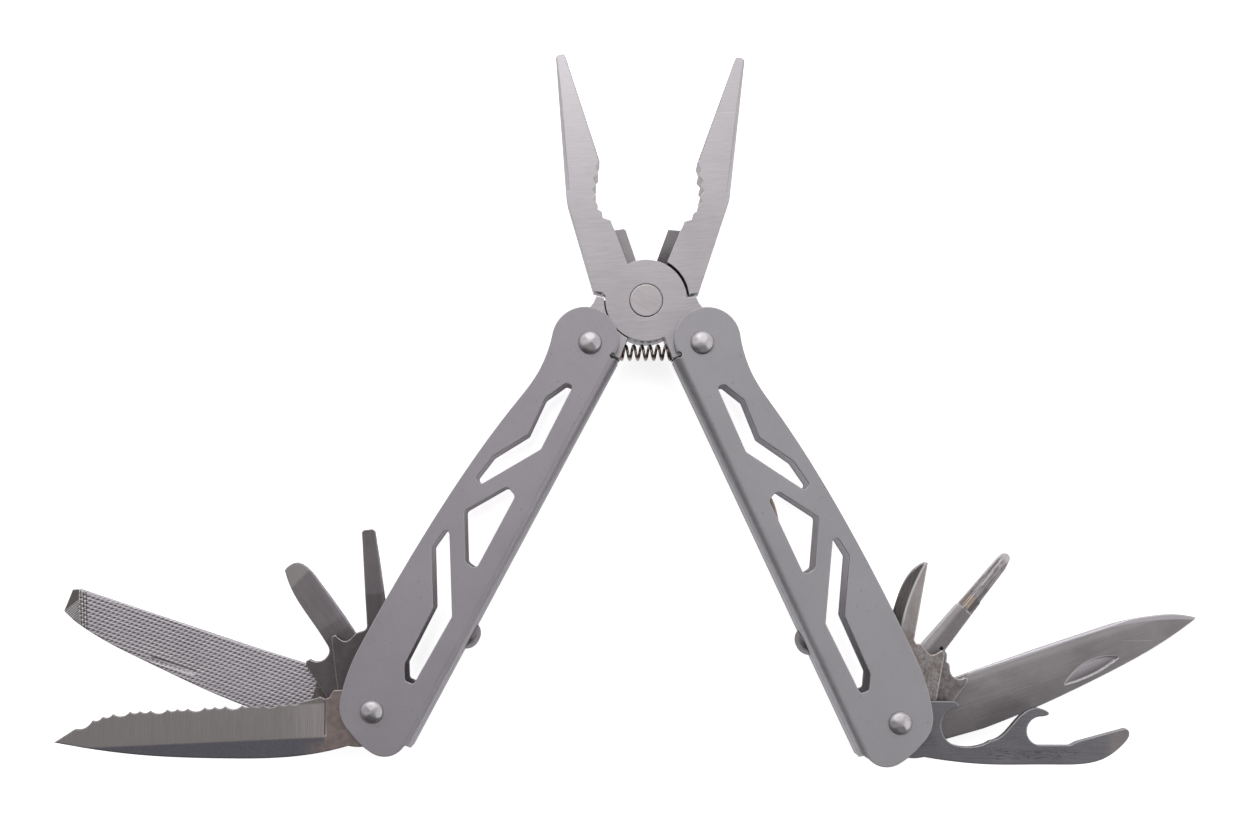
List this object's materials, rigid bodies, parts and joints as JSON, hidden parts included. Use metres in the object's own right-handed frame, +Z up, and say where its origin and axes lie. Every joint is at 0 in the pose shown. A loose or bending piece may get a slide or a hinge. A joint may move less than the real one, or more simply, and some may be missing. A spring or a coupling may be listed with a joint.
{
  "type": "folding pliers multi tool",
  "caption": "Folding pliers with hollow cut-out handles, spring-opened jaws and blades, drivers, file, awl and opener hinged at the handle ends.",
  "frame": {"origin": "centre of the bounding box in plan, on the plane under the lower rivet heads", "axes": "+X across the two handles from the left tools to the right tools, +Y from the handle ends to the pliers nose, +Z up through the thickness"},
  "size_m": [0.2372, 0.147, 0.0154],
  "materials": {
    "handle_steel": "bead blasted, satin, bright edges",
    "jaw_steel": "fine ground",
    "blade_steel": "ground bevels",
    "tool_steel": "tumbled, darker",
    "spring_steel": "oiled, dark",
    "rivet_steel": "peened and polished"
  },
  "bodies": {
    "jaw_right": {"pliers_jaw_right": "jaw_steel", "jaw_pivot_rivet": "rivet_steel", "jaw_spring": "spring_steel"},
    "jaw_left": {"pliers_jaw_left": "jaw_steel"},
    "handle_left": {"handle_left": "handle_steel", "tang_rivet_left": "rivet_steel", "tool_rivet_left": "rivet_steel", "leaf_spring_left": "spring_steel", "leaf_rivet_left": "rivet_steel", "tool_washers_left": "rivet_steel"},
    "handle_right": {"handle_right": "handle_steel", "tang_rivet_right": "rivet_steel", "tool_rivet_right": "rivet_steel", "leaf_spring_right": "spring_steel", "leaf_rivet_right": "rivet_steel", "tool_washers_right": "rivet_steel"},
    "serrated_blade": {"serrated_blade": "blade_steel"},
    "small_flat_screwdriver": {"small_flat_screwdriver": "tool_steel"},
    "large_flat_screwdriver": {"large_flat_screwdriver": "tool_steel"},
    "file": {"file": "tool_steel"},
    "can_opener": {"can_opener": "tool_steel"},
    "awl": {"awl": "tool_steel"},
    "phillips_screwdriver": {"phillips_screwdriver": "tool_steel"},
    "knife": {"knife": "blade_steel"}
  },
  "joints": [
    {"name": "jaw_close", "type": "hinge", "parent": "jaw_right", "child": "jaw_left", "pos_m": [0.00333, 0.02249, 0.0077], "axis": [0, 0, 1], "range_deg": [-38.2, 0], "stiffness_Nm_per_rad": 0.05, "springref_deg": 20.05, "deforming": ["jaw_spring"]},
    {"name": "handle_left_fold", "type": "hinge", "parent": "jaw_right", "child": "handle_left", "pos_m": [-0.00817, 0.01368, 0.0077], "axis": [0, 0, 1], "range_deg": [-148, 0]},
    {"name": "handle_right_fold", "type": "hinge", "parent": "jaw_left", "child": "handle_right", "pos_m": [0.01483, 0.01368, 0.0077], "axis": [0, 0, -1], "range_deg": [-148, 0]},
    {"name": "serrated_blade_fold", "type": "hinge", "parent": "handle_left", "child": "serrated_blade", "pos_m": [-0.05297, -0.06206, 0.0077], "axis": [0, 0, 1], "range_deg": [-120.6, 59.4]},
    {"name": "small_flat_fold", "type": "hinge", "parent": "handle_left", "child": "small_flat_screwdriver", "pos_m": [-0.05297, -0.06206, 0.0077], "axis": [0, 0, 1], "range_deg": [-35.8, 144.2]},
    {"name": "large_flat_fold", "type": "hinge", "parent": "handle_left", "child": "large_flat_screwdriver", "pos_m": [-0.05297, -0.06206, 0.0077], "axis": [0, 0, 1], "range_deg": [-63.2, 116.8]},
    {"name": "file_fold", "type": "hinge", "parent": "handle_left", "child": "file", "pos_m": [-0.05297, -0.06206, 0.0077], "axis": [0, 0, 1], "range_deg": [-103.1, 76.9], "deforming": ["leaf_spring_left"]},
    {"name": "can_opener_fold", "type": "hinge", "parent": "handle_right", "child": "can_opener", "pos_m": [0.05546, -0.06437, 0.0077], "axis": [0, 0, -1], "range_deg": [-117.5, 62.5]},
    {"name": "awl_fold", "type": "hinge", "parent": "handle_right", "child": "awl", "pos_m": [0.05546, -0.06437, 0.0077], "axis": [0, 0, -1], "range_deg": [-37.5, 142.5]},
    {"name": "phillips_fold", "type": "hinge", "parent": "handle_right", "child": "phillips_screwdriver", "pos_m": [0.05546, -0.06437, 0.0077], "axis": [0, 0, -1], "range_deg": [-66.6, 113.4]},
    {"name": "knife_fold", "type": "hinge", "parent": "handle_right", "child": "knife", "pos_m": [0.05546, -0.06437, 0.0077], "axis": [0, 0, -1], "range_deg": [-99.3, 80.7], "deforming": ["leaf_spring_right"]}
  ]
}
